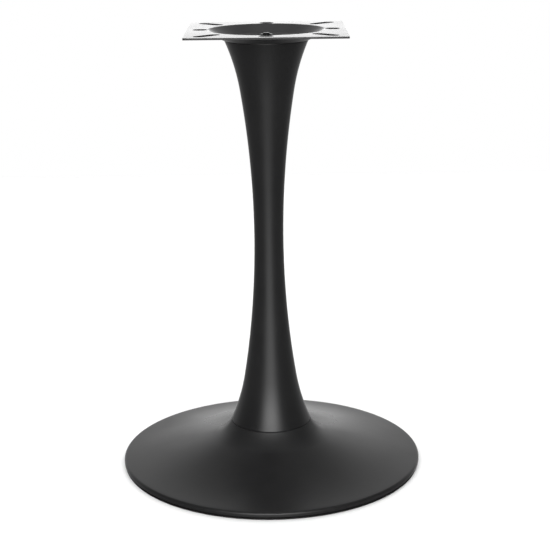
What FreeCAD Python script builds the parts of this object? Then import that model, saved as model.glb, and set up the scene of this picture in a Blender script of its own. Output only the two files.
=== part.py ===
"""Tulip table base: a pressed top plate and a trumpet column clamped to a flared foot by one tie rod.

Millimetres, +Z up, origin on the floor at the middle of the foot. The stack from the floor up is
edge ring, weight plate, base cover, column, top plate. The rod runs up the middle of it.
"""
import FreeCAD
import Part
import Sketcher
import math
import os

SIZES = {
    # Overall
    "total_height": 725.0,
    "plate_side": 250.0,
    "plate_thickness": 3.0,
    "plate_corner": 3.0,
    "foot_radius": 250.0,
    # Column shell, alike above and below its waist
    "neck_height": 71.0,
    "waist_radius": 24.0,
    "column_end_radius": 67.0,
    "flare_length": 79.0,
    "end_angle": 23.7,
    "shell_wall": 2.0,
    "seam_bevel": 0.6,
    # Spun cover of the foot
    "cover_sheet": 2.0,
    "rim_face": 3.4,
    "rim_rounding": 4.0,
    "rim_slope": 4.0,
    "neck_reach": 29.0,
    "spigot_height": 10.0,
    "spigot_clearance": 0.3,
    "flange_width": 8.0,
    "lip_clearance": 1.0,
    # Rubber ring under the rim
    "ring_height": 5.0,
    "ring_ledge": 2.5,
    "ring_setback": 1.5,
    "ring_foot": 2.0,
    "ring_groove": 3.5,
    "ring_seat_width": 14.0,
    "ring_clearance": 0.3,
    # Cast ballast with its hub
    "ballast_inset": 8.0,
    "ballast_thickness": 6.0,
    "hub_clearance": 2.8,
    "hub_wall": 9.0,
    "hub_web": 10.0,
    "hub_fillet": 8.0,
    # Dish of the top plate
    "dish_depth": 13.0,
    "plate_land": 33.0,
    "dish_rim_overlap": 3.0,
    "seat_margin": 2.0,
    "nose_depth": 8.0,
    "nose_clearance": 2.0,
    "bend_radius": 3.0,
    # Slots and holes of the top plate
    "slot_width": 18.0,
    "slot_land": 11.0,
    "slot_corner_land": 23.8,
    "hole_radius": 11.5,
    "hole_land": 1.0,
    # Tie rod and its fasteners
    "rod_radius": 6.0,
    "rod_clearance": 0.5,
    "rod_bevel": 1.0,
    "rod_top_excess": 2.0,
    "rod_bottom_excess": 4.0,
    "washer_radius": 18.5,
    "washer_thickness": 3.0,
    "nut_across_flats": 19.0,
    "nut_height": 10.8,
    "nut_bevel_angle": 30.0,
}
COUNT_AROUND = 4
FULL_TURN = 360.0
QUARTER_TURN = 90.0
EIGHTH_TURN = 45.0
HALF_HEXAGON_ANGLE = 30.0
TOUCH = 0.01
# How a sketch numbers a curve's points, its own two axes and its origin, where the level axis starts
START, END, CENTRE = range(1, 4)
SKETCH_X, SKETCH_Y = range(-1, -3, -1)
ORIGIN = (SKETCH_X, START)


class Size:
    """A number together with the expression that ties it to the sheet."""

    def __init__(self, number, text):
        self.number = number
        self.text = text

    def joined(self, sign, other, number):
        return Size(number, f"({self.text} {sign} {as_size(other).text})")

    def __add__(self, other):
        return self.joined("+", other, self.number + as_size(other).number)

    def __sub__(self, other):
        return self.joined("-", other, self.number - as_size(other).number)

    def __mul__(self, other):
        return self.joined("*", other, self.number * as_size(other).number)

    def __truediv__(self, other):
        return self.joined("/", other, self.number / as_size(other).number)

    def __neg__(self):
        return as_size(0.0) - self


def as_size(value):
    return value if isinstance(value, Size) else Size(float(value), repr(float(value)))


def degrees(size):
    """The same number as an angle."""
    return Size(size.number, f"({size.text}) * 1 deg")


def cosine(angle):
    return Size(math.cos(math.radians(angle.number)), f"cos({degrees(angle).text})")


def tangent(angle):
    return Size(math.tan(math.radians(angle.number)), f"tan({degrees(angle).text})")


def make_sheet():
    """Put every driving size in its own cell and give back the sizes by name."""
    sheet = doc.addObject("Spreadsheet::Sheet", "Sizes")
    sizes = {}
    for row, (name, number) in enumerate(SIZES.items(), start=1):
        sheet.set(f"A{row}", name)
        sheet.set(f"B{row}", str(number))
        sheet.setAlias(f"B{row}", name)
        sizes[name] = Size(number, f"Sizes.{name}")
    doc.recompute()
    return sizes


def junction_angle(first_run, first_angle, second_run, second_angle, rise):
    """Angle where two tangent arcs meet, from their runs, their outer angles and their joint rise."""
    first = math.tan(first_angle / 2)
    second = math.tan(second_angle / 2)
    square = -(first_run * second + second_run * first + rise * first * second)
    linear = (first_run + second_run) * (1 - first * second) + rise * (first + second)
    constant = first_run * first + second_run * second - rise
    root = math.sqrt(linear ** 2 - 4 * square * constant)
    return 2 * math.atan(-2 * constant / (linear + root))


def new_body(label, height):
    """A body whose own origin lies on the axis at the given height."""
    body = doc.addObject("PartDesign::Body", label)
    body.Label = label
    body.setExpression("Placement.Base.z", as_size(height).text)
    return body


def new_sketch(body, name, role, turn=FreeCAD.Rotation()):
    sketch = body.newObject("Sketcher::SketchObject", name)
    plane = next(part for part in body.Origin.OriginFeatures if part.Role == role)
    sketch.AttachmentSupport = [(plane, "")]
    sketch.MapMode = "FlatFace"
    sketch.AttachmentOffset = FreeCAD.Placement(FreeCAD.Vector(), turn)
    return sketch


def tie(sketch, kind, *places, size):
    """Add a driving constraint whose value follows the sheet."""
    number = math.radians(size.number) if kind == "Angle" else size.number
    index = sketch.addConstraint(Sketcher.Constraint(kind, *places, number))
    sketch.setExpression(f"Constraints[{index}]", degrees(size).text if kind == "Angle" else size.text)


def pin(sketch, edge, end, x, y):
    """Hold one point of a sketch at its own level and upright distance from the origin."""
    for kind, axis, size in (("DistanceX", SKETCH_Y, x), ("DistanceY", SKETCH_X, y)):
        if as_size(size).number == 0:
            sketch.addConstraint(Sketcher.Constraint("PointOnObject", edge, end, axis))
        else:
            tie(sketch, kind, *ORIGIN, edge, end, size=as_size(size))


def vector(x, y):
    return FreeCAD.Vector(as_size(x).number, as_size(y).number, 0)


def line(sketch, start, end, construction=False):
    return sketch.addGeometry(Part.LineSegment(start, end), construction)


def arc(sketch, centre, radius, start_angle, end_angle):
    circle = Part.Circle(centre, FreeCAD.Vector(0, 0, 1), radius)
    return sketch.addGeometry(Part.ArcOfCircle(circle, start_angle, end_angle), False)


def meet(sketch, first, first_end, second, second_end, kind="Coincident"):
    sketch.addConstraint(Sketcher.Constraint(kind, first, first_end, second, second_end))


def straight_outline(sketch, corners):
    """A closed outline of straight edges, each corner held by its own two sizes."""
    points = [vector(x, y) for x, y in corners]
    edges = [line(sketch, start, end) for start, end in zip(points, points[1:] + points[:1])]
    for edge, following in zip(edges, edges[1:] + edges[:1]):
        meet(sketch, edge, END, following, START)
    for edge, (x, y) in zip(edges, corners):
        pin(sketch, edge, START, x, y)


def circle(sketch, centre_x, radius):
    """A whole circle with its centre on the sketch's level axis."""
    edge = sketch.addGeometry(
        Part.Circle(vector(centre_x, 0), FreeCAD.Vector(0, 0, 1), radius.number), False)
    pin(sketch, edge, CENTRE, centre_x, 0)
    tie(sketch, "Radius", edge, size=radius)


def turned(body, name, sketch, cut=False):
    """Turn a section right round the body's own axis, to add or to cut."""
    feature = body.newObject("PartDesign::Groove" if cut else "PartDesign::Revolution", name)
    feature.Profile = sketch
    feature.ReferenceAxis = (sketch, ["V_Axis"])
    feature.Angle = FULL_TURN
    body.Tip = feature
    return feature


def raised(body, name, sketch, height, downward=False):
    feature = body.newObject("PartDesign::Pad", name)
    feature.Profile = sketch
    feature.setExpression("Length", height.text)
    feature.Reversed = downward
    body.Tip = feature
    return feature


def punched(body, name, sketch):
    """Cut right through the body, both ways from the sketch."""
    feature = body.newObject("PartDesign::Pocket", name)
    feature.Profile = sketch
    feature.Type = "ThroughAll"
    feature.Midplane = True
    body.Tip = feature
    return feature


def repeated(body, name, feature, sketch):
    """Repeat a feature evenly round the body's own upright axis."""
    pattern = body.newObject("PartDesign::PolarPattern", name)
    pattern.Originals = [feature]
    pattern.Axis = (sketch, ["N_Axis"])
    pattern.Angle = FULL_TURN
    pattern.Occurrences = COUNT_AROUND
    body.Tip = pattern


def round_edges(feature, places):
    """Names of the feature's round edges about the axis, by radius and height."""
    doc.recompute()
    names = []
    for radius, height in places:
        middle = FreeCAD.Vector(0, 0, as_size(height).number)
        for number, edge in enumerate(feature.Shape.Edges, start=1):
            ring = edge.Curve if isinstance(edge.Curve, Part.Circle) else None
            if ring and ring.Center.isEqual(middle, TOUCH) and abs(ring.Radius - radius.number) < TOUCH:
                names.append(f"Edge{number}")
    return names


def upright_edges(feature):
    """Names of the feature's straight edges that stand upright."""
    doc.recompute()
    names = []
    for number, edge in enumerate(feature.Shape.Edges, start=1):
        rise = edge.Vertexes[-1].Point - edge.Vertexes[0].Point
        if isinstance(edge.Curve, Part.Line) and math.hypot(rise.x, rise.y) < TOUCH:
            names.append(f"Edge{number}")
    return names


def dressed(body, kind, name, feature, edges, size):
    """Round or bevel chosen edges of a feature."""
    dress = body.newObject(f"PartDesign::{kind}", name)
    dress.Base = (feature, edges)
    dress.setExpression("Radius" if kind == "Fillet" else "Size", size.text)
    body.Tip = dress
    return dress


def make_edge_ring():
    """Rubber ring: a ledge under the ballast and a low grooved wall that the cover's lip stands on."""
    body = new_body("edge_ring", 0)
    outside = s["foot_radius"] - s["ring_setback"]
    groove = outside - s["ring_groove"]
    wall = ballast_radius + s["ring_clearance"]
    inside = ballast_radius - s["ring_seat_width"]
    sketch = new_sketch(body, "ring_section", "XZ_Plane")
    straight_outline(sketch, [
        (inside, 0), (outside, 0), (outside, s["ring_foot"]),
        (groove, s["ring_foot"]), (groove, s["ring_height"]), (wall, s["ring_height"]),
        (wall, s["ring_ledge"]), (inside, s["ring_ledge"])])
    turned(body, "ring", sketch)


def make_weight_plate():
    """Cast disc with a hollow hub: the hub's top carries the neck, its web holds the rod."""
    body = new_body("weight_plate", s["ring_ledge"])
    top = hub_top - s["ring_ledge"]
    hollow = hub_radius - s["hub_wall"]
    bore = s["rod_radius"] + s["rod_clearance"]
    sketch = new_sketch(body, "casting_section", "XZ_Plane")
    straight_outline(sketch, [
        (hollow, 0), (ballast_radius, 0), (ballast_radius, s["ballast_thickness"]),
        (hub_radius, s["ballast_thickness"]), (hub_radius, top), (bore, top),
        (bore, top - s["hub_web"]), (hollow, top - s["hub_web"])])
    casting = turned(body, "casting", sketch)
    foot = round_edges(casting, [(hub_radius, s["ballast_thickness"])])
    dressed(body, "Fillet", "hub_foot", casting, foot, s["hub_fillet"])


def make_base_cover():
    """Spun foot: lip, rounded rim, dished top, flared neck, shoulder and spigot, all of one sheet."""
    body = new_body("base_cover", 0)
    sketch = new_sketch(body, "cover_section", "XZ_Plane")
    sheet = s["cover_sheet"]
    foot, floor = s["foot_radius"], s["ring_height"]
    lip = ballast_radius + s["lip_clearance"]
    seam, neck = s["column_end_radius"], s["neck_height"]
    spigot_top = neck + s["spigot_height"]
    flange = hub_radius - s["flange_width"]
    shoulder_centre = vector(foot - s["rim_rounding"], floor + s["rim_face"])

    # Where the arcs lie: the neck leaves the column's line, the dish ends at the rim's slope
    steep = math.radians(QUARTER_TURN - s["end_angle"].number)
    gentle = math.radians(s["rim_slope"].number)
    rounding, thick = s["rim_rounding"].number, sheet.number
    dish_end = shoulder_centre + FreeCAD.Vector(math.sin(gentle), math.cos(gentle), 0) * rounding
    neck_run = s["neck_reach"].number
    dish_run = dish_end.x - seam.number - neck_run
    turn = junction_angle(neck_run, steep, dish_run, gentle, neck.number - dish_end.y)
    neck_radius = neck_run / (math.sin(steep) - math.sin(turn))
    dish_radius = dish_run / (math.sin(turn) - math.sin(gentle))
    neck_centre = vector(seam, neck) + FreeCAD.Vector(math.sin(steep), math.cos(steep), 0) * neck_radius
    dish_centre = dish_end + FreeCAD.Vector(math.sin(gentle), math.cos(gentle), 0) * dish_radius
    down = 1.5 * math.pi
    underside_drop = (neck_centre.y - neck.number + thick) / (neck_radius + thick)
    underside_angle = math.pi + math.asin(underside_drop)

    neck_out = arc(sketch, neck_centre, neck_radius, down - steep, down - turn)
    dish_out = arc(sketch, dish_centre, dish_radius, down - turn, down - gentle)
    rim_out = arc(sketch, shoulder_centre, rounding, 0, math.pi / 2 - gentle)
    neck_in = arc(sketch, neck_centre, neck_radius + thick, underside_angle, down - turn)
    dish_in = arc(sketch, dish_centre, dish_radius + thick, down - turn, down - gentle)
    rim_in = arc(sketch, shoulder_centre, rounding - thick, 0, math.pi / 2 - gentle)
    for upper, under in ((neck_out, neck_in), (dish_out, dish_in), (rim_out, rim_in)):
        meet(sketch, upper, CENTRE, under, CENTRE)
    for neck_arc, dish_arc, rim_arc in ((neck_out, dish_out, rim_out), (neck_in, dish_in, rim_in)):
        meet(sketch, neck_arc, END, dish_arc, START, "Tangent")
        meet(sketch, dish_arc, END, rim_arc, END, "Tangent")
    pin(sketch, neck_out, START, seam, neck)
    tie(sketch, "DistanceX", neck_out, START, neck_out, END, size=s["neck_reach"])
    tie(sketch, "Radius", rim_out, size=s["rim_rounding"])

    # Spokes from the arcs' centres set the slopes at the seam and at the rim
    neck_spoke = line(sketch, vector(seam, neck), neck_centre, construction=True)
    dish_spoke = line(sketch, dish_end, dish_centre, construction=True)
    for spoke, curve, end in ((neck_spoke, neck_out, START), (dish_spoke, dish_out, END)):
        meet(sketch, spoke, START, curve, end)
        meet(sketch, spoke, END, curve, CENTRE)
    tie(sketch, "Angle", neck_spoke, size=s["end_angle"])
    tie(sketch, "Angle", dish_spoke, size=as_size(QUARTER_TURN) - s["rim_slope"])

    # Rim: from the end of the rounding down, in along the lip, and back up inside
    rim_points = [
        (foot, floor + s["rim_face"]), (foot, floor), (lip, floor), (lip, floor + sheet),
        (foot - sheet, floor + sheet), (foot - sheet, floor + s["rim_face"])]
    rim = [line(sketch, vector(*a), vector(*b)) for a, b in zip(rim_points, rim_points[1:])]
    for edge, following in zip(rim, rim[1:]):
        meet(sketch, edge, END, following, START)
    for edge, corner in zip(rim[1:], rim_points[1:]):
        pin(sketch, edge, START, *corner)
    meet(sketch, rim[0], START, rim_out, START, "Tangent")
    meet(sketch, rim[-1], END, rim_in, START, "Tangent")
    tie(sketch, "DistanceY", *ORIGIN, rim[0], START, size=floor + s["rim_face"])

    # Neck: in over the shoulder, up the spigot, in along the flange, and back down inside
    neck_points = [
        vector(seam, neck), vector(spigot, neck),
        vector(spigot - s["spigot_height"] * lean, spigot_top), vector(flange, spigot_top),
        vector(flange, hub_top), vector(spigot_inside, hub_top),
        vector(spigot_inside + s["spigot_height"] * lean, neck - sheet),
        FreeCAD.Vector(neck_centre.x + (neck_radius + thick) * math.cos(underside_angle),
                       neck.number - thick, 0)]
    step = [line(sketch, a, b) for a, b in zip(neck_points, neck_points[1:])]
    for edge, following in zip(step, step[1:]):
        meet(sketch, edge, END, following, START)
    meet(sketch, step[0], START, neck_out, START)
    meet(sketch, step[-1], END, neck_in, START)
    shoulder, outer_wall, _, edge, under_flange, inner_wall, under_shoulder = step
    pin(sketch, shoulder, END, spigot, neck)
    pin(sketch, edge, START, flange, spigot_top)
    pin(sketch, edge, END, flange, hub_top)
    tie(sketch, "DistanceY", *ORIGIN, outer_wall, END, size=spigot_top)
    tie(sketch, "Angle", outer_wall, size=s["end_angle"] + QUARTER_TURN)
    sketch.addConstraint(Sketcher.Constraint("Horizontal", under_flange))
    sketch.addConstraint(Sketcher.Constraint("Parallel", outer_wall, inner_wall))
    tie(sketch, "Distance", outer_wall, START, inner_wall, size=sheet)
    tie(sketch, "DistanceY", *ORIGIN, under_shoulder, START, size=neck - sheet)
    sketch.addConstraint(Sketcher.Constraint("Horizontal", under_shoulder))

    cover = turned(body, "cover", sketch)
    dressed(body, "Chamfer", "seam_edge", cover, round_edges(cover, [(seam, neck)]), s["seam_bevel"])


def make_column():
    """Trumpet shell: half of it turned about the axis, the other half its mirror image at the waist."""
    body = new_body("column", waist_height)
    sketch = new_sketch(body, "shell_section", "XZ_Plane")
    waist, end, wall = s["waist_radius"], s["column_end_radius"], s["shell_wall"]
    waist_run = half_length - s["flare_length"]
    lean = math.radians(s["end_angle"].number)
    rise = end.number - waist.number
    turn = junction_angle(waist_run.number, 0.0, s["flare_length"].number, lean, rise)
    waist_radius = waist_run.number / math.sin(turn)
    flare_radius = s["flare_length"].number / (math.sin(lean) - math.sin(turn))
    waist_centre = FreeCAD.Vector(waist.number + waist_radius, 0, 0)
    inward = FreeCAD.Vector(math.cos(lean), -math.sin(lean), 0)
    flare_centre = vector(end, half_length) + inward * flare_radius
    mouth = math.asin((half_length.number - flare_centre.y) / (flare_radius + wall.number))

    waist_out = arc(sketch, waist_centre, waist_radius, math.pi - turn, math.pi)
    flare_out = arc(sketch, flare_centre, flare_radius, math.pi - lean, math.pi - turn)
    waist_in = arc(sketch, waist_centre, waist_radius + wall.number, math.pi - turn, math.pi)
    flare_in = arc(sketch, flare_centre, flare_radius + wall.number, math.pi - mouth, math.pi - turn)
    foot = line(sketch, vector(waist - wall, 0), vector(waist, 0))
    rim = line(sketch, vector(end, half_length), vector(mouth_radius, half_length))
    spoke = line(sketch, vector(end, half_length), flare_centre, construction=True)

    meet(sketch, flare_out, END, waist_out, START, "Tangent")
    meet(sketch, flare_in, END, waist_in, START, "Tangent")
    meet(sketch, waist_out, CENTRE, waist_in, CENTRE)
    meet(sketch, flare_out, CENTRE, flare_in, CENTRE)
    sketch.addConstraint(Sketcher.Constraint("PointOnObject", waist_out, CENTRE, SKETCH_X))
    meet(sketch, foot, START, waist_in, END)
    meet(sketch, foot, END, waist_out, END)
    meet(sketch, rim, START, flare_out, START)
    meet(sketch, rim, END, flare_in, START)
    meet(sketch, spoke, START, flare_out, START)
    meet(sketch, spoke, END, flare_out, CENTRE)
    pin(sketch, foot, START, waist - wall, 0)
    pin(sketch, foot, END, waist, 0)
    pin(sketch, rim, START, end, half_length)
    sketch.addConstraint(Sketcher.Constraint("Horizontal", rim))
    tie(sketch, "DistanceY", *ORIGIN, waist_out, START, size=waist_run)
    tie(sketch, "Angle", spoke, size=-s["end_angle"])

    half = turned(body, "half_shell", sketch)
    end_edge = round_edges(half, [(end, half_length)])
    bevel = dressed(body, "Chamfer", "end_edge", half, end_edge, s["seam_bevel"])
    mirror = body.newObject("PartDesign::Mirrored", "whole_shell")
    mirror.Originals = [half, bevel]
    mirror.MirrorPlane = (sketch, ["H_Axis"])
    body.Tip = mirror


def make_top_plate():
    """Pressed plate, its own origin at the middle of its top: dish, nose, slots and holes."""
    body = new_body("top_plate", s["total_height"])
    thick = s["plate_thickness"]
    half_side = s["plate_side"] / 2
    rim = half_side - s["plate_land"]
    outer_rim = rim + s["dish_rim_overlap"]
    floor, seat = s["dish_depth"], s["column_end_radius"] + s["seat_margin"]
    nose = mouth_radius - s["nose_clearance"]
    nose_end, bottom = nose - s["nose_depth"], s["dish_depth"] + s["nose_depth"]
    bore = s["rod_radius"] + s["rod_clearance"]

    # Flat square with an opening that the dish then closes
    square = new_sketch(body, "plate_outline", "XY_Plane")
    straight_outline(square, [
        (-half_side, -half_side), (half_side, -half_side), (half_side, half_side), (-half_side, half_side)])
    circle(square, 0, rim + s["dish_rim_overlap"] / 2)
    flat = raised(body, "flat_plate", square, thick, downward=True)
    flat = dressed(body, "Fillet", "plate_corners", flat, upright_edges(flat), s["plate_corner"])

    # Dish: one sheet, drawn down in a cone to the seat and once more in a nose that enters the column
    dish_section = new_sketch(body, "dish_section", "XZ_Plane")
    upper = [(bore, -bottom), (nose_end, -bottom), (nose, -floor), (seat, -floor), (rim, 0), (outer_rim, 0)]
    under = [(x, -thick + y) for x, y in reversed(upper)]
    straight_outline(dish_section, upper + under)
    dish = turned(body, "dish", dish_section)
    tight = round_edges(dish, [(nose_end, -bottom), (nose, -floor - thick), (seat, -floor), (rim, -thick)])
    bends = dressed(body, "Fillet", "inner_bends", dish, tight, s["bend_radius"])
    wide = round_edges(bends, [
        (nose_end, -bottom - thick), (nose, -floor), (seat, -floor - thick), (rim, 0)])
    dressed(body, "Fillet", "outer_bends", bends, wide, s["bend_radius"] + thick)

    # Slots for wood screws on the diagonals, round holes on the axes
    turned_square = FreeCAD.Rotation(FreeCAD.Vector(0, 0, 1), EIGHTH_TURN)
    slot_sketch = new_sketch(body, "slot_outline", "XY_Plane", turned_square)
    slot_end = half_side / cosine(as_size(EIGHTH_TURN)) - s["slot_corner_land"]
    draw_slot(slot_sketch, rim + s["slot_land"], slot_end, s["slot_width"])
    repeated(body, "slots", punched(body, "slot", slot_sketch), square)
    hole_sketch = new_sketch(body, "hole_outline", "XY_Plane")
    circle(hole_sketch, rim + s["hole_land"] + s["hole_radius"], s["hole_radius"])
    repeated(body, "holes", punched(body, "hole", hole_sketch), square)


def draw_slot(sketch, inner, outer, width):
    """A round-ended slot along the sketch's level axis between two radii."""
    radius = width / 2
    near, far, half = inner + radius, outer - radius, radius.number
    left = arc(sketch, vector(near, 0), half, math.pi / 2, 1.5 * math.pi)
    right = arc(sketch, vector(far, 0), half, -math.pi / 2, math.pi / 2)
    upper = line(sketch, vector(near, radius), vector(far, radius))
    lower = line(sketch, vector(near, -radius), vector(far, -radius))
    meet(sketch, upper, START, left, START, "Tangent")
    meet(sketch, lower, START, left, END, "Tangent")
    meet(sketch, upper, END, right, END, "Tangent")
    meet(sketch, lower, END, right, START, "Tangent")
    pin(sketch, left, CENTRE, near, 0)
    pin(sketch, right, CENTRE, far, 0)
    tie(sketch, "Radius", left, size=radius)


def make_tie_rod():
    """Rod with bevelled ends, from below the bottom nut to above the top nut."""
    bottom = web_underside - s["washer_thickness"] - s["nut_height"] - s["rod_bottom_excess"]
    top = dish_floor + s["washer_thickness"] + s["nut_height"] + s["rod_top_excess"]
    body = new_body("tie_rod", bottom)
    sketch = new_sketch(body, "rod_outline", "XY_Plane")
    circle(sketch, 0, s["rod_radius"])
    rod = raised(body, "rod", sketch, top - bottom)
    ends = round_edges(rod, [(s["rod_radius"], 0), (s["rod_radius"], top - bottom)])
    dressed(body, "Chamfer", "rod_ends", rod, ends, s["rod_bevel"])


def make_washer(label, height):
    body = new_body(label, height)
    sketch = new_sketch(body, f"{label}_outline", "XY_Plane")
    circle(sketch, 0, s["washer_radius"])
    circle(sketch, 0, s["rod_radius"] + s["rod_clearance"])
    raised(body, f"{label}_disc", sketch, s["washer_thickness"])


def make_nut(label, height):
    """Hexagon nut on the rod, its corners bevelled above and below."""
    body = new_body(label, height)
    flat = s["nut_across_flats"] / 2
    corner = flat / cosine(as_size(HALF_HEXAGON_ANGLE))
    hexagon = new_sketch(body, f"{label}_outline", "XY_Plane")
    straight_outline(hexagon, [
        (flat, -corner / 2), (flat, corner / 2), (0, corner),
        (-flat, corner / 2), (-flat, -corner / 2), (0, -corner)])
    circle(hexagon, 0, s["rod_radius"])
    raised(body, f"{label}_prism", hexagon, s["nut_height"])
    bevels = new_sketch(body, f"{label}_bevels", "XZ_Plane")
    beyond = corner * 2 - flat
    drop = (beyond - flat) * tangent(s["nut_bevel_angle"])
    for face, side in ((as_size(0), drop), (s["nut_height"], -drop)):
        straight_outline(bevels, [(flat, face), (beyond, face), (beyond, face + side)])
    turned(body, f"{label}_corners", bevels, cut=True)


def check():
    """Stop if any object failed or any sub-part is empty, broken or in more than one piece."""
    for item in doc.Objects:
        faults = [state for state in item.State if state in ("Invalid", "Error")]
        if faults:
            raise RuntimeError(f"{item.Label} is {faults[0]}: {item.getStatusString()}")
    for body in bodies():
        shape = body.Shape
        if shape.isNull() or not shape.isValid() or len(shape.Solids) != 1:
            raise RuntimeError(f"{body.Label} isn't one sound solid")


def bodies():
    return [item for item in doc.Objects if item.TypeId == "PartDesign::Body"]


def export():
    os.makedirs("parts", exist_ok=True)
    for body in bodies():
        body.Shape.exportStep(f"parts/{body.Label}.step")
        print(f"{body.Label}: {body.Shape.Volume / 1000:.1f} cm3")


doc = FreeCAD.newDocument("tulip_table_base")
s = make_sheet()

# Levels and radii that several pieces share
dish_floor = s["total_height"] - s["dish_depth"] - s["nose_depth"]
column_top = s["total_height"] - s["dish_depth"] - s["plate_thickness"]
half_length = (column_top - s["neck_height"]) / 2
waist_height = (column_top + s["neck_height"]) / 2
lean = tangent(s["end_angle"])
mouth_radius = s["column_end_radius"] - s["shell_wall"] / cosine(s["end_angle"])
spigot = mouth_radius - s["spigot_clearance"]
hub_top = s["neck_height"] + s["spigot_height"] - s["cover_sheet"]
spigot_inside = spigot - s["cover_sheet"] / cosine(s["end_angle"]) - (hub_top - s["neck_height"]) * lean
hub_radius = spigot_inside - s["hub_clearance"]
web_underside = hub_top - s["hub_web"]
ballast_radius = s["foot_radius"] - s["ballast_inset"]

make_edge_ring()
make_weight_plate()
make_base_cover()
make_column()
make_top_plate()
make_tie_rod()
make_washer("top_washer", dish_floor)
make_nut("top_nut", dish_floor + s["washer_thickness"])
make_washer("bottom_washer", web_underside - s["washer_thickness"])
make_nut("bottom_nut", web_underside - s["washer_thickness"] - s["nut_height"])
doc.recompute()
check()
export()
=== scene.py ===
# %% [markdown]
# # A black tulip table base
#
# The base is a stack that one long rod pulls together. From the floor up it has a rubber ring, an iron
# weight, a foot spun from one steel sheet, a waisted trumpet column and a pressed plate that is screwed
# under the table top. The CAD model holds every piece at its true size. This lesson loads it, makes finer
# skins for the pieces that the eye dwells on, gives each surface its finish and lights the whole as a
# small photo studio would.

# %% [markdown]
# ## Load the frame
#
# The imported model comes in as fixed objects at the origin, in metres.

# %% Load the imported model
import math

import bmesh
import bpy
from mathutils import Matrix, Vector


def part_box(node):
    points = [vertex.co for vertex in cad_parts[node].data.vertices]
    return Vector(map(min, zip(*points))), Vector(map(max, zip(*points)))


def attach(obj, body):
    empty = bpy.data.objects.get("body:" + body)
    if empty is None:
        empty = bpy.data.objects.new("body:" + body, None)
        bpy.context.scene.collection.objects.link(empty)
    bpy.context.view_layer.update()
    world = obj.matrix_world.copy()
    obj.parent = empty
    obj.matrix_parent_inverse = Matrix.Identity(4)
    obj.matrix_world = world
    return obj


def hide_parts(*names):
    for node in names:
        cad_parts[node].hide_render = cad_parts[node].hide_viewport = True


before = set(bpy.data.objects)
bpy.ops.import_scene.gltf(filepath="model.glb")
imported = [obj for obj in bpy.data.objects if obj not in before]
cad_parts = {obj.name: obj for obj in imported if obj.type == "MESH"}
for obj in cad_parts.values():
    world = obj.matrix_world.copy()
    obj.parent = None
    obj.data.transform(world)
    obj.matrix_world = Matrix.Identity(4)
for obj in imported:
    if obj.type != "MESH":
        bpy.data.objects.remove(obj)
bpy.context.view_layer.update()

MM = 0.001

# %% [markdown]
# ## Small tools for node trees
#
# Every finish and every shape rule below is a tree of nodes. They could be wired by hand in the editor,
# but a few helpers keep them short enough to read. One adds a node and fills its inputs, with a plain
# value or with another node's output. One makes a single sum, one moves a value to another range, and one
# adds a noise. The last starts a tree with named inputs and outputs, which is all that Blender needs to
# treat it as a reusable group.


# %% Helpers that add nodes
def node(tree, kind, wires=None, **options):
    """Add a node, set its options and fill its inputs with values or with other nodes' outputs."""
    made = tree.nodes.new(kind)
    for name, value in options.items():
        setattr(made, name, value)
    for place, value in (wires or {}).items():
        if isinstance(value, bpy.types.NodeSocket):
            tree.links.new(value, made.inputs[place])
        else:
            made.inputs[place].default_value = value
    return made


def reckon(tree, operation, *terms):
    """The result of one Math node."""
    return node(tree, "ShaderNodeMath", dict(enumerate(terms)), operation=operation).outputs[0]


def spread(tree, value, from_low, from_high, to_low, to_high):
    """A value moved from one range to another and held inside it."""
    ranges = {"Value": value, "From Min": from_low, "From Max": from_high,
              "To Min": to_low, "To Max": to_high}
    return node(tree, "ShaderNodeMapRange", ranges).outputs["Result"]


def noise(tree, place, scale, detail, roughness=0.5):
    """A noise between nought and one, with its scale in waves to the metre."""
    shape = {"Vector": place, "Scale": scale, "Detail": detail, "Roughness": roughness}
    return node(tree, "ShaderNodeTexNoise", shape).outputs["Fac"]


def new_tree(name, kind, inputs, outputs):
    """An empty node group with named sockets, and the nodes that stand for them."""
    tree = bpy.data.node_groups.new(name, kind)
    for label, sort, default in inputs:
        socket = tree.interface.new_socket(label, in_out="INPUT", socket_type=f"NodeSocket{sort}")
        if default is not None:
            socket.default_value = default
    for label, sort in outputs:
        tree.interface.new_socket(label, in_out="OUTPUT", socket_type=f"NodeSocket{sort}")
    return tree, tree.nodes.new("NodeGroupInput").outputs, tree.nodes.new("NodeGroupOutput").inputs


print("helpers:", [tool.__name__ for tool in (node, reckon, spread, noise, new_tree)])

# %% [markdown]
# ## Grain: the skin that every finish shares
#
# Powder coat melts into a film with a faint orange peel and a finer sandiness on top of it. Cast iron,
# rubber and blackened steel have the same two scales of relief in other amounts. So the grain is one
# group: two noises mixed into a height for the bump, and a slow third one for uneven tone. It reads Object
# coordinates, which stay put on the piece from any side.

# %% The grain group
MOTTLE_LOW, MOTTLE_HIGH = 0.3, 0.7


def make_grain():
    tree, given, result = new_tree(
        "Surface grain", "ShaderNodeTree",
        [("Coordinates", "Vector", None), ("Peel Per Metre", "Float", None),
         ("Sand Per Metre", "Float", None), ("Sand Share", "Float", None),
         ("Mottle Per Metre", "Float", 14.0)],
        [("Height", "Float"), ("Mottle", "Float")])
    place = given["Coordinates"]
    peel = noise(tree, place, given["Peel Per Metre"], detail=1.0)
    sand = noise(tree, place, given["Sand Per Metre"], detail=3.0, roughness=0.6)
    relief = node(tree, "ShaderNodeMix", {"Factor": given["Sand Share"], "A": peel, "B": sand})
    mottle = noise(tree, place, given["Mottle Per Metre"], detail=4.0, roughness=0.55)
    tree.links.new(relief.outputs["Result"], result["Height"])
    tree.links.new(spread(tree, mottle, MOTTLE_LOW, MOTTLE_HIGH, 0.0, 1.0), result["Mottle"])
    return tree


grain = make_grain()
print("group:", grain.name)

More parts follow.
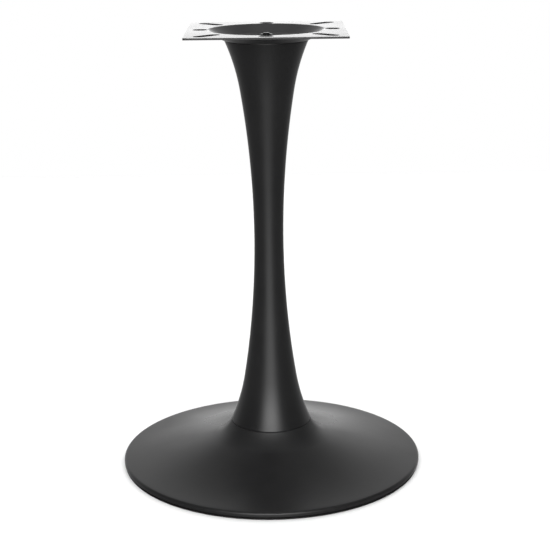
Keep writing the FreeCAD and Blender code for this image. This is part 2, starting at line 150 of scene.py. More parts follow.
# %% [markdown]
# ## Wear: rub marks and a little settled dust
#
# A foot is brushed by shoes and a nut by a spanner, so both get short rub marks, drawn as a noise that is
# stretched along one direction and cut off so that only its peaks are left. Dust lies only on what faces
# up, in soft patches. Both are masks from nought to one, and each material decides what to do with them.

# %% The wear group
PEAK_LOW, PEAK_HIGH = 0.62, 0.78
UPWARD_LOW, UPWARD_HIGH = 0.75, 1.0
CLUMP_LOW, CLUMP_HIGH = 0.4, 0.75


def make_wear():
    tree, given, result = new_tree(
        "Rub and dust", "ShaderNodeTree",
        [("Coordinates", "Vector", None), ("Stretch", "Vector", None),
         ("Marks Per Metre", "Float", 160.0), ("Dust Per Metre", "Float", 9.0)],
        [("Rub", "Float"), ("Dust", "Float")])
    place = given["Coordinates"]
    stretched = node(tree, "ShaderNodeVectorMath", {0: place, 1: given["Stretch"]}, operation="MULTIPLY")
    marks = noise(tree, stretched.outputs["Vector"], given["Marks Per Metre"], detail=2.0)
    tree.links.new(spread(tree, marks, PEAK_LOW, PEAK_HIGH, 0.0, 1.0), result["Rub"])
    facing = node(tree, "ShaderNodeSeparateXYZ", {0: node(tree, "ShaderNodeNewGeometry").outputs["Normal"]})
    upward = spread(tree, facing.outputs["Z"], UPWARD_LOW, UPWARD_HIGH, 0.0, 1.0)
    patches = noise(tree, place, given["Dust Per Metre"], detail=5.0, roughness=0.65)
    clumps = spread(tree, patches, CLUMP_LOW, CLUMP_HIGH, 0.0, 1.0)
    tree.links.new(reckon(tree, "MULTIPLY", upward, clumps), result["Dust"])
    return tree


wear = make_wear()
print("group:", wear.name)

# %% [markdown]
# ## A finish is grain and wear with values
#
# One function builds every finish from the two groups. What is the same all over a surface, such as
# metalness, is set straight on the shader. What changes over it, the colour, the roughness and the bump,
# comes from the groups. Any coat looks smoother when it is seen at a low angle, so the roughness falls
# there. First come the colour, in layers from the deep tone to the dust, and the gloss.

# %% Colour and gloss in layers
DUST_COLOUR = (0.16, 0.155, 0.15, 1.0)
DUST_DULLS = 0.5
GRAZE_START, GRAZE_FULL = 0.7, 0.95
COLOUR_A, COLOUR_B, COLOUR_RESULT = 6, 7, 2


def mixed_colour(tree, share, first, second):
    """Two colours mixed by a share, through the colour sockets of a Mix node."""
    colours = {"Factor": share, COLOUR_A: first, COLOUR_B: second}
    return node(tree, "ShaderNodeMix", colours, data_type="RGBA").outputs[COLOUR_RESULT]


def layered_colour(tree, tones, mottle, rubbed, dusted):
    """The deep and the paler tone by the mottle, then the tone of rub marks, then dust."""
    deep, pale, bare = [(*tone, 1.0) for tone in tones]
    colour = mixed_colour(tree, mottle, deep, pale)
    colour = mixed_colour(tree, rubbed, colour, bare)
    return mixed_colour(tree, dusted, colour, DUST_COLOUR)


def layered_gloss(tree, place, roughness, mottle, dusted, graze, dulls):
    """The roughness by the mottle, raised by dust and with height, lowered at a grazing angle."""
    gloss = spread(tree, mottle, 0.0, 1.0, *roughness)
    gloss = reckon(tree, "ADD", gloss, reckon(tree, "MULTIPLY", dusted, DUST_DULLS))
    if dulls:
        low, high, gain = dulls
        height = node(tree, "ShaderNodeSeparateXYZ", {0: place}).outputs["Z"]
        gloss = reckon(tree, "ADD", gloss, spread(tree, height, low * MM, high * MM, 0.0, gain))
    facing = node(tree, "ShaderNodeLayerWeight").outputs["Facing"]
    return reckon(tree, "MULTIPLY", gloss, spread(tree, facing, GRAZE_START, GRAZE_FULL, 1.0, graze))


print("dust adds up to", DUST_DULLS, "to the roughness")


# %% A finish from grain and wear
def make_finish(name, tones, roughness, relief, grains, rub=0.1, dust=0.1, metallic=0.0, graze=0.8,
                stretch=(1.0, 1.0, 0.08), dulls=None):
    """A material: three tones, a roughness range, the relief in mm and the grain's own values.

    dulls holds two heights in mm and how much the roughness grows between them.
    """
    material = bpy.data.materials.new(name)
    material.use_nodes = True
    tree = material.node_tree
    shader = next(item for item in tree.nodes if item.type == "BSDF_PRINCIPLED")
    place = node(tree, "ShaderNodeTexCoord").outputs["Object"]
    skin = node(tree, "ShaderNodeGroup", {"Coordinates": place, **grains}, node_tree=grain).outputs
    marks = node(tree, "ShaderNodeGroup", {"Coordinates": place, "Stretch": stretch}, node_tree=wear).outputs
    rubbed = reckon(tree, "MULTIPLY", marks["Rub"], rub)
    dusted = reckon(tree, "MULTIPLY", marks["Dust"], dust)
    colour = layered_colour(tree, tones, skin["Mottle"], rubbed, dusted)
    gloss = layered_gloss(tree, place, roughness, skin["Mottle"], dusted, graze, dulls)
    bump = node(tree, "ShaderNodeBump", {"Height": skin["Height"], "Strength": 1.0, "Distance": relief * MM})
    tree.links.new(colour, shader.inputs["Base Color"])
    tree.links.new(gloss, shader.inputs["Roughness"])
    tree.links.new(bump.outputs["Normal"], shader.inputs["Normal"])
    shader.inputs["Metallic"].default_value = metallic
    print("finish:", name)
    return material


# %% [markdown]
# ## Black coats, iron, rubber and steel
#
# The column, the foot and the plate are powder-coated black, but not quite alike. Sprayed powder settles
# less evenly in the hollow of the neck, so the foot's coat grows duller up there. The plate, which a table
# top will hide, has a thinner and duller coat. The weight is a primed casting with coarse relief, the ring
# is matt rubber, and the rod, nuts and washers are blackened steel with brighter marks from the spanner.

# %% Powder coats
coat_tones = [(0.0075, 0.0075, 0.0078), (0.0095, 0.0095, 0.0098), (0.05, 0.05, 0.05)]
coat_grains = {"Peel Per Metre": 380.0, "Sand Per Metre": 2200.0, "Sand Share": 0.35}
black_coat = make_finish(
    "satin_black_coat", coat_tones, roughness=(0.34, 0.39), relief=0.03, grains=coat_grains,
    rub=0.04, dust=0.02, graze=0.35)
foot_coat = make_finish(
    "foot_black_coat", coat_tones, roughness=(0.34, 0.39), relief=0.03, grains=coat_grains,
    rub=0.04, dust=0.02, graze=0.35, dulls=(42.0, 58.0, 0.17))
plate_coat = make_finish(
    "thin_black_coat", [(0.018, 0.018, 0.0185), (0.024, 0.024, 0.0245), (0.08, 0.08, 0.08)],
    roughness=(0.40, 0.46), relief=0.035, rub=0.08, dust=0.05, graze=0.3,
    grains={"Peel Per Metre": 420.0, "Sand Per Metre": 2400.0, "Sand Share": 0.45})

# %% Casting, rubber and blackened steel
cast_iron = make_finish(
    "primed_casting", [(0.022, 0.022, 0.023), (0.04, 0.039, 0.038), (0.09, 0.085, 0.08)],
    roughness=(0.6, 0.75), relief=0.25, rub=0.12, dust=0.1, metallic=0.2,
    grains={"Peel Per Metre": 220.0, "Sand Per Metre": 700.0, "Sand Share": 0.55})
rubber = make_finish(
    "matt_rubber", [(0.006, 0.006, 0.006), (0.009, 0.009, 0.009), (0.05, 0.05, 0.05)],
    roughness=(0.62, 0.74), relief=0.04, rub=0.05, dust=0.03,
    grains={"Peel Per Metre": 500.0, "Sand Per Metre": 1800.0, "Sand Share": 0.7})
dark_steel = make_finish(
    "blackened_steel", [(0.045, 0.045, 0.048), (0.075, 0.075, 0.08), (0.3, 0.3, 0.31)],
    roughness=(0.34, 0.46), relief=0.01, rub=0.3, dust=0.05, metallic=1.0, stretch=(1.0, 0.1, 1.0),
    grains={"Peel Per Metre": 700.0, "Sand Per Metre": 3000.0, "Sand Share": 0.5, "Mottle Per Metre": 90.0})

# %% [markdown]
# ## A lathe made of nodes
#
# The column, the foot and the ring are all turned about one axis. Blender's Screw modifier would turn each
# of them, but a tree states the rule once for all three: take the points of a section, repeat them round
# the axis, and join them. A grid has just the right faces for that. Its columns are the steps round the
# axis and its rows are the section's points, so each corner of the grid looks up its own point of the
# section and is swung round to its own angle. The last column falls on the first, and merging closes the
# seam. Like every tree that makes a piece, it ends with plain geometry and the finish on it.

# %% The lathe tree
MERGE = 0.002 * MM


def coated(tree, shaped, finish):
    """What a tree has shaped, as plain geometry with its finish."""
    real = node(tree, "GeometryNodeRealizeInstances", {0: shaped})
    return node(tree, "GeometryNodeSetMaterial", {"Geometry": real.outputs[0], "Material": finish}).outputs[0]


def make_lathe():
    tree, given, result = new_tree(
        "Lathe", "GeometryNodeTree",
        [("Section", "Geometry", None), ("Segments", "Int", None), ("Finish", "Material", None)],
        [("Piece", "Geometry")])
    counted = node(tree, "GeometryNodeAttributeDomainSize", {"Geometry": given["Section"]}, component="MESH")
    rows = counted.outputs["Point Count"]
    grid = node(tree, "GeometryNodeMeshGrid", {
        "Vertices X": reckon(tree, "ADD", given["Segments"], 1.0), "Vertices Y": rows})
    index = node(tree, "GeometryNodeInputIndex").outputs[0]
    step = reckon(tree, "FLOOR", reckon(tree, "DIVIDE", index, rows))
    row = reckon(tree, "MODULO", index, rows)
    place = node(tree, "GeometryNodeInputPosition").outputs[0]
    point = node(tree, "GeometryNodeSampleIndex", {
        "Geometry": given["Section"], "Value": place, "Index": row}, data_type="FLOAT_VECTOR", domain="POINT")
    angle = reckon(tree, "MULTIPLY", reckon(tree, "DIVIDE", step, given["Segments"]), math.tau)
    swung = node(tree, "ShaderNodeVectorRotate", {
        "Vector": point.outputs["Value"], "Angle": angle}, rotation_type="Z_AXIS")
    shaped = node(tree, "GeometryNodeSetPosition", {
        "Geometry": grid.outputs["Mesh"], "Position": swung.outputs["Vector"]})
    closed = node(tree, "GeometryNodeMergeByDistance", {"Geometry": shaped.outputs[0], "Distance": MERGE})
    tree.links.new(coated(tree, closed.outputs[0], given["Finish"]), result["Piece"])
    return tree


lathe = make_lathe()
print("tree:", lathe.name)

# %% [markdown]
# ## From a node tree to a plain piece
#
# The export drops what a modifier would only make later, so each piece is frozen: the tree runs once, its
# result becomes the object's mesh and the modifier goes. Then doubles are merged, the faces are turned
# outwards, and edges sharper than a crease angle keep their line while the rest is shaded smooth.

# %% Run a tree and keep its result
CREASE = math.radians(32)


def finish_mesh(mesh):
    """Merge doubles, turn the faces outwards and shade smooth up to the crease angle."""
    work = bmesh.new()
    work.from_mesh(mesh)
    bmesh.ops.remove_doubles(work, verts=work.verts, dist=MERGE)
    bmesh.ops.recalc_face_normals(work, faces=work.faces)
    work.to_mesh(mesh)
    work.free()
    mesh.shade_smooth()
    mesh.set_sharp_from_angle(angle=CREASE)


def made_by(tree, name, start, sizes):
    """A plain object made by running a node tree, with its sizes by name, on a starting mesh."""
    piece = bpy.data.objects.new(name, start)
    bpy.context.scene.collection.objects.link(piece)
    modifier = piece.modifiers.new("shape", "NODES")
    modifier.node_group = tree
    sockets = {item.name: item.identifier for item in tree.interface.items_tree if item.in_out == "INPUT"}
    for label, value in sizes.items():
        modifier[sockets[label]] = value
    bpy.context.view_layer.update()
    shaped = piece.evaluated_get(bpy.context.evaluated_depsgraph_get())
    mesh = bpy.data.meshes.new_from_object(shaped)
    piece.modifiers.remove(modifier)
    piece.data = mesh
    finish_mesh(mesh)
    print(name, "has", len(mesh.polygons), "faces")
    return piece


# %% Turn a section, and stand in for a CAD node
def turned(name, section, segments, finish):
    """A piece turned from a closed section of (radius, height) points in mm."""
    points = [(radius * MM, 0.0, height * MM) for radius, height in section + section[:1]]
    start = bpy.data.meshes.new(name)
    start.from_pydata(points, [], [])
    return made_by(lathe, name, start, {"Segments": segments, "Finish": finish})


def stands_for(piece, cad_node):
    """The piece shows in place of a CAD node and rides with the rest."""
    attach(piece, "root")
    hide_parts(cad_node)


print("CAD nodes:", sorted(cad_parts))

# %% [markdown]
# ## Curves that meet without a kink
#
# The tulip line is two arcs, each side of the waist: a long one that is almost straight and a tighter one
# that opens the trumpet. They look like one line only if they meet at the same slope. A Bezier curve could
# be drawn by eye instead, but two arcs follow from sizes that can be measured. An arc that turns from one
# slope to another over a known run climbs by the run times the tangent of the mean slope, so the slope at
# the joint follows from the whole climb. It is found by halving.

# %% Arcs from slopes
HALVINGS = 60
ARC_STEPS = 22


def meeting_slope(first_run, first_slope, second_run, last_slope, climb):
    """The slope where two tangent arcs meet so that together they climb by the given amount."""
    low, high = sorted((first_slope, last_slope))
    for _ in range(HALVINGS):
        middle = (low + high) / 2
        reached = (first_run * math.tan((first_slope + middle) / 2)
                   + second_run * math.tan((middle + last_slope) / 2))
        low, high = (middle, high) if reached < climb else (low, middle)
    return middle


def arc_steps(first_slope, last_slope, run):
    """Even steps along an arc: distance along, climb and slope."""
    radius = run / (math.sin(last_slope) - math.sin(first_slope))
    slopes = [first_slope + (last_slope - first_slope) * step / ARC_STEPS for step in range(ARC_STEPS + 1)]
    return [(radius * (math.sin(slope) - math.sin(first_slope)),
             radius * (math.cos(first_slope) - math.cos(slope)), slope) for slope in slopes]


def two_arcs(first_run, first_slope, second_run, last_slope, climb):
    """Steps along two arcs that meet without a kink."""
    joint = meeting_slope(first_run, first_slope, second_run, last_slope, climb)
    print("arcs meet at", round(math.degrees(joint), 2), "degrees")
    first = arc_steps(first_slope, joint, first_run)
    along, risen, _ = first[-1]
    second = arc_steps(joint, last_slope, second_run)[1:]
    return first + [(along + run, risen + rise, slope) for run, rise, slope in second]


print("steps on an arc:", ARC_STEPS)

# %% [markdown]
# ## Soft corners
#
# No real edge is a knife. Where a section has a corner, a third number beside its radius and height says
# how far back the corner is eased, and a short curve takes its place. A bevel after turning would do it
# too, but in the section it costs only four more points and no modifier.

# %% Ease the corners of a section
EASE_STEPS = 4


def eased(section):
    """The section with each marked corner replaced by a short curve."""
    result = []
    for index, (radius, height, *mark) in enumerate(section):
        corner = Vector((radius, height))
        if not mark:
            result.append(tuple(corner))
            continue
        before, after = Vector(section[index - 1][:2]), Vector(section[(index + 1) % len(section)][:2])
        start = corner + (before - corner).normalized() * mark[0]
        end = corner + (after - corner).normalized() * mark[0]
        for step in range(EASE_STEPS + 1):
            share = step / EASE_STEPS
            result.append(tuple(start.lerp(corner, share).lerp(corner.lerp(end, share), share)))
    print("section of", len(section), "points becomes", len(result))
    return result


print("points on an eased corner:", EASE_STEPS + 1)

# %% [markdown]
# ## The column
#
# A drawn steel trumpet, alike above and below its waist, open at both ends where it sits on the foot and
# carries the plate. Its outer line is stepped off once, from the waist up, and mirrored. The inner line
# lies one wall further in, square to the outer one at every step. A small step cut into the outside of
# each end shows as a fine dark line at the seam with the foot.

# %% Turn the column
COLUMN_BOTTOM, COLUMN_TOP = 71.0, 709.0
WAIST_RADIUS, END_RADIUS = 24.0, 67.0
FLARE_LENGTH, END_SLOPE = 79.0, math.radians(23.7)
SHELL_WALL, SEAM_GAP, SEAM_DEPTH, SEAM_EASE = 2.0, 1.3, 1.4, 0.2
ROUND_COLUMN = 192

waist_height = (COLUMN_BOTTOM + COLUMN_TOP) / 2
half_length = (COLUMN_TOP - COLUMN_BOTTOM) / 2
mouth_radius = END_RADIUS - SHELL_WALL / math.cos(END_SLOPE)
flare = two_arcs(half_length - FLARE_LENGTH, 0.0, FLARE_LENGTH, END_SLOPE, END_RADIUS - WAIST_RADIUS)
step_height = half_length - SEAM_GAP
outer = [(WAIST_RADIUS + out, up) for up, out, _ in flare if up < step_height - SEAM_EASE]
outer += [(END_RADIUS - SEAM_GAP * math.tan(END_SLOPE), step_height, SEAM_EASE),
          (END_RADIUS - SEAM_DEPTH, step_height), (END_RADIUS - SEAM_DEPTH, half_length)]
inner = [(WAIST_RADIUS + out - SHELL_WALL * math.cos(slope), up + SHELL_WALL * math.sin(slope))
         for up, out, slope in flare]
inner = [point for point in inner if point[1] < half_length] + [(mouth_radius, half_length)]
upper = [(radius, waist_height + up, *mark) for radius, up, *mark in outer]
lower = [(radius, waist_height - up, *mark) for radius, up, *mark in outer[:0:-1]]
upper_in = [(radius, waist_height + up) for radius, up in inner[:0:-1]]
lower_in = [(radius, waist_height - up) for radius, up in inner]
column = turned("trumpet_column", eased(lower + upper + upper_in + lower_in), ROUND_COLUMN, black_coat)
stands_for(column, "column")

# %% [markdown]
# ## The foot
#
# One spun sheet makes the whole foot: the neck leaves the column's line, sweeps out into a shallow dish
# and rolls over a rounded rim to a lip that stands on the rubber ring. Above the seam a shoulder and a
# tapered spigot reach up into the column, where nobody sees them, but the shell is closed all the same.
# The sheet's skin comes first, then the spigot, and the section runs once round both.

# %% The foot's skin
FOOT_RADIUS, SHEET = 250.0, 2.0
RIM_BASE, RIM_FACE, RIM_ROUNDING, RIM_SLOPE = 5.0, 3.4, 4.0, math.radians(4.0)
NECK_REACH = 29.0
RIM_STEPS = 12

rim_centre = Vector((FOOT_RADIUS - RIM_ROUNDING, RIM_BASE + RIM_FACE))


def rim_arc(radius):
    """Steps over the rim's rounding, from the dish's slope to upright."""
    turns = [RIM_SLOPE + (math.pi / 2 - RIM_SLOPE) * step / RIM_STEPS for step in range(RIM_STEPS + 1)]
    return [tuple(rim_centre + Vector((math.sin(turn), math.cos(turn))) * radius) for turn in turns]


rim_out, rim_in = rim_arc(RIM_ROUNDING), rim_arc(RIM_ROUNDING - SHEET)
dish_run = rim_out[0][0] - END_RADIUS - NECK_REACH
drop = COLUMN_BOTTOM - rim_out[0][1]
sweep = two_arcs(NECK_REACH, math.pi / 2 - END_SLOPE, dish_run, RIM_SLOPE, drop)
skin_out = [(END_RADIUS + out, COLUMN_BOTTOM - down) for out, down, _ in sweep]
skin_in = [(END_RADIUS + out - SHEET * math.sin(slope), COLUMN_BOTTOM - down - SHEET * math.cos(slope))
           for out, down, slope in sweep]
skin_in = [point for point in skin_in if point[1] < COLUMN_BOTTOM - SHEET]

# %% Turn the foot
SPIGOT_HEIGHT, SPIGOT_CLEARANCE = 10.0, 0.3
LIP_RADIUS, FLANGE_RADIUS = 243.0, 48.0
LIP_EASE, SHOULDER_EASE = 0.5, 0.6
ROUND_FOOT = 288

spigot = mouth_radius - SPIGOT_CLEARANCE
spigot_in = spigot - SHEET / math.cos(END_SLOPE)
spigot_top = COLUMN_BOTTOM + SPIGOT_HEIGHT
taper = math.tan(END_SLOPE)
foot_section = (
    [(END_RADIUS, COLUMN_BOTTOM, SHOULDER_EASE)] + skin_out[1:-1] + rim_out
    + [(FOOT_RADIUS, RIM_BASE, LIP_EASE), (LIP_RADIUS, RIM_BASE), (LIP_RADIUS, RIM_BASE + SHEET),
       (FOOT_RADIUS - SHEET, RIM_BASE + SHEET)]
    + rim_in[::-1] + skin_in[-2::-1]
    + [(spigot_in + SHEET * taper, COLUMN_BOTTOM - SHEET),
       (spigot_in - (SPIGOT_HEIGHT - SHEET) * taper, spigot_top - SHEET), (FLANGE_RADIUS, spigot_top - SHEET),
       (FLANGE_RADIUS, spigot_top), (spigot - SPIGOT_HEIGHT * taper, spigot_top), (spigot, COLUMN_BOTTOM)])
foot = turned("spun_foot", eased(foot_section), ROUND_FOOT, foot_coat)
stands_for(foot, "base_cover")

# %% [markdown]
# ## The rubber ring
#
# The foot doesn't touch the floor. A rubber ring under the rim does. Its outside is grooved, so between
# the rim and the ring's own foot there is a line of shadow. A step inside it carries the iron weight.

# %% Turn the ring
RING_IN, RING_WALL, RING_GROOVE, RING_OUT = 228.0, 242.3, 245.0, 248.5
RING_FOOT, RING_LEDGE, RING_EASE = 2.0, 2.5, 0.6

ring_section = [(RING_IN, 0.0, RING_EASE), (RING_OUT, 0.0, RING_EASE), (RING_OUT, RING_FOOT, RING_EASE),
                (RING_GROOVE, RING_FOOT), (RING_GROOVE, RIM_BASE), (RING_WALL, RIM_BASE),
                (RING_WALL, RING_LEDGE), (RING_IN, RING_LEDGE, RING_EASE)]
ring = turned("rubber_ring", eased(ring_section), ROUND_FOOT, rubber)
stands_for(ring, "edge_ring")

# %% [markdown]
# ## The threaded rod
#
# The rod's ends show beside the two nuts, so there it needs a real thread. A thread is a rule: at each
# height and angle the radius rises and falls once in a pitch, and the pattern turns once round as it
# climbs by a pitch. A Screw modifier could wind a thread profile, but its ragged ends would need trimming.
# So the tree takes a fine cylinder, crowds its rings towards both ends, and pulls each corner in to the
# radius that the rule gives. The middle, which is never seen, stays a plain shank.

# %% The thread's rule
CROWDED = 0.485
CREST, ROOT = 0.1, 0.42


def crowded_height(tree, given, share):
    """The height of a ring: most rings lie in the two threads, and few along the shank."""
    thread = given["Threaded"]
    shank = reckon(tree, "SUBTRACT", given["Length"], reckon(tree, "MULTIPLY", thread, 2.0))
    rise = reckon(tree, "ADD", spread(tree, share, 0.0, CROWDED, 0.0, thread),
                  spread(tree, share, CROWDED, 1.0 - CROWDED, 0.0, shank))
    return reckon(tree, "ADD", rise, spread(tree, share, 1.0 - CROWDED, 1.0, 0.0, thread))


def thread_radius(tree, given, height, turns):
    """The radius at a height and an angle in turns: grooved in the threads, a cone at the very ends."""
    climbed = reckon(tree, "DIVIDE", height, given["Pitch"])
    phase = reckon(tree, "FRACT", reckon(tree, "SUBTRACT", climbed, turns))
    wave = reckon(tree, "ABSOLUTE", reckon(tree, "SUBTRACT", phase, 0.5))
    groove = reckon(tree, "MULTIPLY", spread(tree, wave, CREST, ROOT, 0.0, 1.0), given["Depth"])
    to_end = reckon(tree, "MINIMUM", height, reckon(tree, "SUBTRACT", given["Length"], height))
    in_thread = reckon(tree, "LESS_THAN", to_end, given["Threaded"])
    cut = reckon(tree, "SUBTRACT", given["Radius"], reckon(tree, "MULTIPLY", groove, in_thread))
    cone = reckon(tree, "ADD", reckon(tree, "SUBTRACT", given["Radius"], given["Bevel"]), to_end)
    return reckon(tree, "MINIMUM", cut, cone)


print("rings in the two threads:", round(2 * CROWDED * 100), "percent")

# %% The thread tree
ROUND_ROD, ROD_RINGS = 36, 290
PITCH_LENGTH, THREAD_DEPTH, THREADED_LENGTH, ROD_BEVEL = 1.75, 0.95, 30.0, 1.0


def make_thread():
    sizes = ("Radius", "Length", "Base", "Pitch", "Depth", "Threaded", "Bevel")
    tree, given, result = new_tree(
        "Threaded rod", "GeometryNodeTree",
        [("Start", "Geometry", None), ("Rings", "Int", None), ("Finish", "Material", None)]
        + [(size, "Float", None) for size in sizes],
        [("Rod", "Geometry")])
    blank = node(tree, "GeometryNodeMeshCylinder", {
        "Vertices": ROUND_ROD, "Side Segments": given["Rings"], "Radius": given["Radius"],
        "Depth": 1.0}, fill_type="TRIANGLE_FAN")
    place = node(tree, "GeometryNodeInputPosition").outputs[0]
    spot = node(tree, "ShaderNodeSeparateXYZ", {0: place}).outputs
    height = crowded_height(tree, given, reckon(tree, "ADD", spot["Z"], 0.5))
    turns = reckon(tree, "DIVIDE", reckon(tree, "ARCTAN2", spot["Y"], spot["X"]), math.tau)
    drawn = reckon(tree, "DIVIDE", thread_radius(tree, given, height, turns), given["Radius"])
    moved = node(tree, "ShaderNodeCombineXYZ", {
        "X": reckon(tree, "MULTIPLY", spot["X"], drawn), "Y": reckon(tree, "MULTIPLY", spot["Y"], drawn),
        "Z": reckon(tree, "ADD", height, given["Base"])})
    shaped = node(tree, "GeometryNodeSetPosition", {
        "Geometry": blank.outputs["Mesh"], "Position": moved.outputs[0]})
    tree.links.new(coated(tree, shaped.outputs[0], given["Finish"]), result["Rod"])
    return tree


rod_low, rod_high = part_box("tie_rod")
rod = made_by(make_thread(), "threaded_rod", bpy.data.meshes.new("rod_start"), {
    "Radius": rod_high.x, "Length": rod_high.z - rod_low.z, "Base": rod_low.z,
    "Pitch": PITCH_LENGTH * MM, "Depth": THREAD_DEPTH * MM, "Threaded": THREADED_LENGTH * MM,
    "Bevel": ROD_BEVEL * MM, "Rings": ROD_RINGS, "Finish": dark_steel})
stands_for(rod, "tie_rod")

# %% [markdown]
# ## The pressed plate, the nuts and the washers
#
# These could be modelled anew from a plane and a few cylinders, but they are right as the CAD model has
# them, apart from their knife edges. Each is copied, its loose triangles are merged, and a narrow bevel
# rounds every sharp edge, so that the plate's rim and the nuts' corners catch a line of light. A weighted
# normal then keeps the flat faces flat beside the bevels.

# %% Copy a CAD piece and round its edges
EDGE_ANGLE, EDGE_STEPS = math.radians(50), 2
SHEET_EDGE, NUT_EDGE = 0.25, 0.2


def edged_copy(cad_node, name, finish, width):
    """A copy of a CAD piece with its finish and with its sharp edges rounded by a width in mm."""
    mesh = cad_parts[cad_node].data.copy()
    mesh.materials.clear()
    mesh.materials.append(finish)
    piece = bpy.data.objects.new(name, mesh)
    bpy.context.scene.collection.objects.link(piece)
    finish_mesh(mesh)
    bevel = piece.modifiers.new("edge", "BEVEL")
    bevel.width, bevel.segments = width * MM, EDGE_STEPS
    bevel.limit_method, bevel.angle_limit = "ANGLE", EDGE_ANGLE
    bevel.use_clamp_overlap = False
    weighted = piece.modifiers.new("flat", "WEIGHTED_NORMAL")
    weighted.keep_sharp = True
    print(name, "rounded by", width, "mm")
    return piece


for cad_node, name, finish, slot, width in (
        ("top_plate", "pressed_plate", plate_coat, "black_coat", SHEET_EDGE),
        ("top_washer", "upper_washer", dark_steel, "dark_steel", SHEET_EDGE),
        ("top_nut", "upper_nut", dark_steel, "dark_steel", NUT_EDGE),
        ("bottom_washer", "lower_washer", dark_steel, "dark_steel", SHEET_EDGE),
        ("bottom_nut", "lower_nut", dark_steel, "dark_steel", NUT_EDGE)):
    stands_for(edged_copy(cad_node, name, finish, width), cad_node)

# %% [markdown]
# ## The iron weight
#
# It shows only from below. The CAD shape is right and stays, with the casting's finish on it.

# %% Finish the casting
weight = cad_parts["weight_plate"]
for place in weight.material_slots:
    place.material = cast_iron
print("casting's slots:", [place.material.name for place in weight.material_slots])

# %% [markdown]
# ## The floor
#
# A runner of pale paper, as a studio unrolls it under and behind a stand. A column that mirrored so much
# white would look grey all over. So the paper doesn't show in reflections, and what the coat mirrors
# instead is set in the next step.

# %% Lay the floor
PAPER_HALF, PAPER_FRONT, PAPER_BACK = 1.4, -1.6, 2.4
PAPER_DARK, PAPER_LIGHT = (0.86, 0.86, 0.86, 1.0), (0.9, 0.9, 0.9, 1.0)
PAPER_CLOUDS, PAPER_ROUGHNESS = 3.0, 0.8

floor_paint = bpy.data.materials.new("pale_floor")
floor_paint.use_nodes = True
paper = floor_paint.node_tree
paint = next(item for item in paper.nodes if item.type == "BSDF_PRINCIPLED")
cloud = noise(paper, node(paper, "ShaderNodeTexCoord").outputs["Object"], PAPER_CLOUDS, detail=2.0)
paper.links.new(mixed_colour(paper, cloud, PAPER_DARK, PAPER_LIGHT), paint.inputs["Base Color"])
paint.inputs["Roughness"].default_value = PAPER_ROUGHNESS

floor_mesh = bpy.data.meshes.new("studio_floor")
floor_mesh.from_pydata(
    [(-PAPER_HALF, PAPER_FRONT, 0.0), (PAPER_HALF, PAPER_FRONT, 0.0),
     (PAPER_HALF, PAPER_BACK, 0.0), (-PAPER_HALF, PAPER_BACK, 0.0)], [], [(0, 1, 2, 3)])
floor_mesh.materials.append(floor_paint)
floor = bpy.data.objects.new("studio_floor", floor_mesh)
bpy.context.scene.collection.objects.link(floor)
floor.visible_glossy = False
print("paper of", 2 * PAPER_HALF, "by", PAPER_BACK - PAPER_FRONT, "m")

# %% [markdown]
# ## Studio light
#
# A black satin object is drawn by what it reflects, so the room is painted by direction. In front a tall
# narrow glow, brightest above eye level, draws the line down the column's middle. A wide band behind
# whitens what is seen at a grazing angle, such as the far half of the foot and the sides of the neck. A
# small bright screen straight behind whitens the flat plate alone. A faint light from straight above fills
# the plate's dish, and the sides stay dim. Lamps and white boards would do the same with more trial.

# %% Levels by height and by angle
world = bpy.data.worlds.new("studio")
bpy.context.scene.world = world
world.use_nodes = True
sky = world.node_tree
background = next(item for item in sky.nodes if item.type == "BACKGROUND")
aim = node(sky, "ShaderNodeSeparateXYZ", {0: node(sky, "ShaderNodeTexCoord").outputs["Generated"]}).outputs
from_front = reckon(sky, "ABSOLUTE", reckon(
    sky, "ARCTAN2", aim["X"], reckon(sky, "MULTIPLY", aim["Y"], -1.0)))


def by_height(*stops):
    """A level that runs straight between stops of height and level."""
    total = stops[0][1]
    for (low, before), (high, after) in zip(stops, stops[1:]):
        total = reckon(sky, "ADD", spread(sky, aim["Z"], low, high, 0.0, after - before), total)
    return total


def glow(from_angle, to_angle, *stops):
    """Light that fades in between two angles from the front and follows the stops by height."""
    side = spread(sky, from_front, math.radians(from_angle), math.radians(to_angle), 0.0, 1.0)
    return reckon(sky, "MULTIPLY", side, by_height(*stops))


print("world:", world.name)

# %% The room, painted by direction
SEEN_LEVEL = 1.0

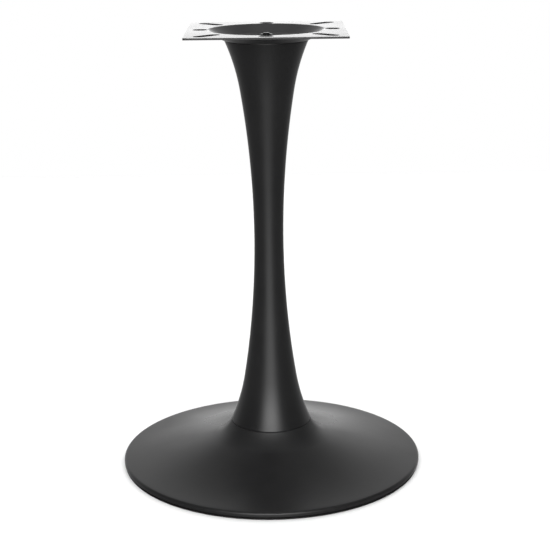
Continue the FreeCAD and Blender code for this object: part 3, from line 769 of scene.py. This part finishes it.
dim_room = by_height((0.1, 0.2), (0.4, 0.04))
front_streak = glow(32, 11, (-0.8, 0.15), (-0.4, 0.5), (0.0, 1.5), (0.3, 6.8), (0.45, 6.8), (0.57, 0.0))
back_band = glow(110, 150, (-0.1, 0.2), (0.05, 0.85), (0.3, 0.85), (0.4, 0.76), (0.55, 0.64), (0.62, 0.0))
back_screen = glow(172, 176, (0.02, 0.0), (0.06, 1.3), (0.12, 1.3), (0.16, 0.0))
from_above = by_height((0.8, 0.0), (0.9, 0.35))
level = dim_room
for light in (front_streak, back_band, back_screen, from_above):
    level = reckon(sky, "ADD", light, level)
seen = node(sky, "ShaderNodeLightPath").outputs["Is Camera Ray"]
shown = node(sky, "ShaderNodeMix", {"Factor": seen, "A": level, "B": SEEN_LEVEL})
sky.links.new(shown.outputs["Result"], background.inputs["Strength"])
background.inputs["Color"].default_value = (1.0, 1.0, 1.0, 1.0)
print("world nodes:", len(sky.nodes))

# %% [markdown]
# ## The overhead box
#
# A wide soft box above the paper, which no surface mirrors, lights the paper so evenly that hardly any
# shadow is left, only the soft dark line where the ring stands.

# %% Hang the overhead box
BOX_PLACE, BOX_SIZE, BOX_WATTS = (0.0, 0.4, 3.4), (7.0, 9.0), 300.0

box_light = bpy.data.lights.new("overhead_box", "AREA")
box_light.shape, box_light.size, box_light.size_y = "RECTANGLE", *BOX_SIZE
box_light.energy = BOX_WATTS
overhead = bpy.data.objects.new("overhead_box", box_light)
overhead.location = BOX_PLACE
overhead.visible_camera = False
overhead.visible_glossy = False
bpy.context.scene.collection.objects.link(overhead)
print(overhead.name, "at", BOX_PLACE, "with", BOX_WATTS, "W")

# %% [markdown]
# ## The camera
#
# A long lens, a little above the plate, tipped down so that the round foot shows as an ellipse. It stands
# a few millimetres beside the middle, and leans by less than a degree.

# %% Place the camera
FOCAL_PIXELS, FRAME_PIXELS, SENSOR = 1406.5, 550.0, 36.0
CAMERA_PLACE = Vector((9.3, -2237.0, 947.0)) * MM
PITCH, ROLL = math.radians(15.588), math.radians(-0.664)

camera_data = bpy.data.cameras.new("camera")
camera_data.sensor_width = SENSOR
camera_data.lens = FOCAL_PIXELS / FRAME_PIXELS * SENSOR
camera = bpy.data.objects.new("camera", camera_data)
bpy.context.scene.collection.objects.link(camera)
camera.matrix_world = (Matrix.Translation(CAMERA_PLACE) @ Matrix.Rotation(math.pi / 2 - PITCH, 4, "X")
                       @ Matrix.Rotation(ROLL, 4, "Z"))
bpy.context.scene.camera = camera
bpy.context.scene.view_settings.view_transform = "Standard"
print("lens of", round(camera_data.lens, 1), "mm,", round(CAMERA_PLACE.length, 2), "m from the foot's middle")
